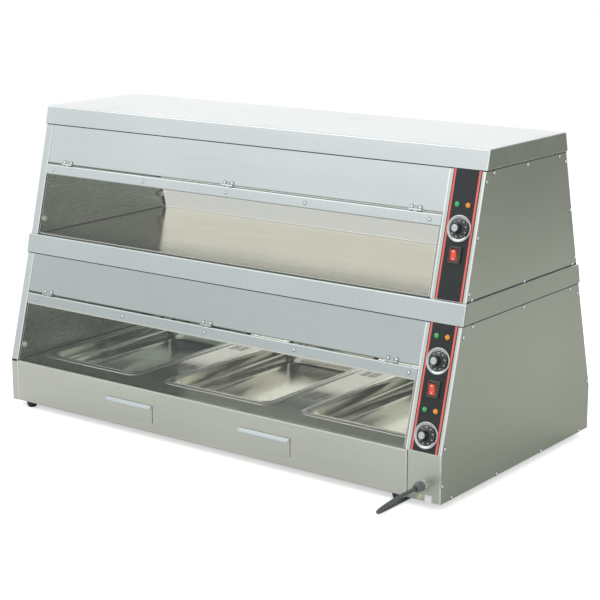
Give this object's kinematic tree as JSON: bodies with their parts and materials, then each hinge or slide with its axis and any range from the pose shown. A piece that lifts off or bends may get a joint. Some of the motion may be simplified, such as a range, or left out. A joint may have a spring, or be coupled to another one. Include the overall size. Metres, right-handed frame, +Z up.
{
  "type": "heated display case",
  "caption": "Two-tier heated counter display case with sloped glass flap doors front and rear, food pans over a heated base, water drawers and a control column.",
  "frame": {"origin": "on the counter, under the middle of the case's own bounding box, without the cord", "axes": "+X along the length, towards the control column; +Y from the front to the rear; +Z up"},
  "size_m": [1.36, 0.9607, 0.787],
  "materials": {
    "casing": "satin",
    "lining": "bright satin",
    "pan": "polished",
    "bright_metal": "polished",
    "overlay": "fine matt, with two pale red stripes",
    "knob": "satin, with a silver end",
    "rocker": "glossy",
    "switch": "matt",
    "lens": "glossy, green on the left and amber on the right",
    "flap_glass": "clear",
    "cream_rubber": "matt",
    "black_rubber": "matt",
    "element": "dull, heat-stained",
    "terminal": "matt",
    "gland": "satin"
  },
  "bodies": {
    "case": {"air_lamps": "lens", "air_thermostat": "bright_metal", "base": "casing", "base_element": "element", "bath_lamps": "lens", "bath_thermostat": "bright_metal", "cord_coil": "black_rubber", "cord_gland": "gland", "cord_lead": "black_rubber", "deck": "lining", "front_left_foot": "black_rubber", "front_right_foot": "black_rubber", "header_element": "element", "lower_column": "casing", "lower_front_left_bumper": "cream_rubber", "lower_front_right_bumper": "cream_rubber", "lower_header": "casing", "lower_left_wall": "casing", "lower_overlay": "overlay", "lower_rear_left_bumper": "cream_rubber", "lower_rear_right_bumper": "cream_rubber", "lower_right_side": "casing", "lower_switch": "switch", "mains_plug": "black_rubber", "rear_left_foot": "black_rubber", "rear_right_foot": "black_rubber", "shelf": "lining", "shelf_element": "element", "terminal_block": "terminal", "top_cap": "casing", "upper_column": "casing", "upper_front_left_bumper": "cream_rubber", "upper_front_right_bumper": "cream_rubber", "upper_header": "casing", "upper_lamps": "lens", "upper_left_wall": "casing", "upper_overlay": "overlay", "upper_rear_left_bumper": "cream_rubber", "upper_rear_right_bumper": "cream_rubber", "upper_right_side": "casing", "upper_switch": "switch", "upper_thermostat": "bright_metal"},
    "upper_front_flap": {"upper_front_strip": "casing", "upper_front_glass": "flap_glass"},
    "upper_rear_flap": {"upper_rear_strip": "casing", "upper_rear_glass": "flap_glass"},
    "lower_front_flap": {"lower_front_strip": "casing", "lower_front_glass": "flap_glass"},
    "lower_rear_flap": {"lower_rear_strip": "casing", "lower_rear_glass": "flap_glass"},
    "upper_knob": {"upper_knob": "knob"},
    "air_knob": {"air_knob": "knob"},
    "bath_knob": {"bath_knob": "knob"},
    "upper_rocker": {"upper_rocker": "rocker"},
    "lower_rocker": {"lower_rocker": "rocker"},
    "left_drawer": {"left_drawer": "casing"},
    "right_drawer": {"right_drawer": "casing"},
    "left_pan": {"left_pan": "pan"},
    "middle_pan": {"middle_pan": "pan"},
    "right_pan": {"right_pan": "pan"}
  },
  "joints": [
    {"name": "upper_front_flap_hinge", "type": "hinge", "parent": "case", "child": "upper_front_flap", "pos_m": [-0.03375, -0.19358, 0.64163], "axis": [-1, 0, 0], "range_deg": [0, 180]},
    {"name": "upper_rear_flap_hinge", "type": "hinge", "parent": "case", "child": "upper_rear_flap", "pos_m": [-0.03375, 0.22588, 0.64163], "axis": [1, 0, 0], "range_deg": [0, 180]},
    {"name": "lower_front_flap_hinge", "type": "hinge", "parent": "case", "child": "lower_front_flap", "pos_m": [-0.03375, -0.28259, 0.30907], "axis": [-1, 0, 0], "range_deg": [0, 180]},
    {"name": "lower_rear_flap_hinge", "type": "hinge", "parent": "case", "child": "lower_rear_flap", "pos_m": [-0.03375, 0.31489, 0.30907], "axis": [1, 0, 0], "range_deg": [0, 180]},
    {"name": "upper_knob_turn", "type": "hinge", "parent": "case", "child": "upper_knob", "pos_m": [0.63025, -0.20068, 0.61289], "axis": [0, 0.9683, -0.2497], "range_deg": [0, 300]},
    {"name": "air_knob_turn", "type": "hinge", "parent": "case", "child": "air_knob", "pos_m": [0.63025, -0.27717, 0.3277], "axis": [0, 0.9644, -0.2644], "range_deg": [0, 300]},
    {"name": "bath_knob_turn", "type": "hinge", "parent": "case", "child": "bath_knob", "pos_m": [0.63025, -0.32106, 0.16761], "axis": [0, 0.9644, -0.2644], "range_deg": [0, 300]},
    {"name": "upper_rocker_tip", "type": "hinge", "parent": "case", "child": "upper_rocker", "pos_m": [0.63025, -0.21919, 0.55673], "axis": [-1, 0, 0], "range_deg": [0, 20]},
    {"name": "lower_rocker_tip", "type": "hinge", "parent": "case", "child": "lower_rocker", "pos_m": [0.63025, -0.29759, 0.26798], "axis": [-1, 0, 0], "range_deg": [0, 20]},
    {"name": "left_drawer_slide", "type": "slide", "parent": "case", "child": "left_drawer", "axis": [0, -1, 0], "range_m": [0, 0.36]},
    {"name": "right_drawer_slide", "type": "slide", "parent": "case", "child": "right_drawer", "axis": [0, -1, 0], "range_m": [0, 0.36]},
    {"name": "left_pan_lift", "type": "slide", "parent": "case", "child": "left_pan", "axis": [0, 0, 1], "range_m": [0, 0.07]},
    {"name": "middle_pan_lift", "type": "slide", "parent": "case", "child": "middle_pan", "axis": [0, 0, 1], "range_m": [0, 0.07]},
    {"name": "right_pan_lift", "type": "slide", "parent": "case", "child": "right_pan", "axis": [0, 0, 1], "range_m": [0, 0.07]}
  ]
}
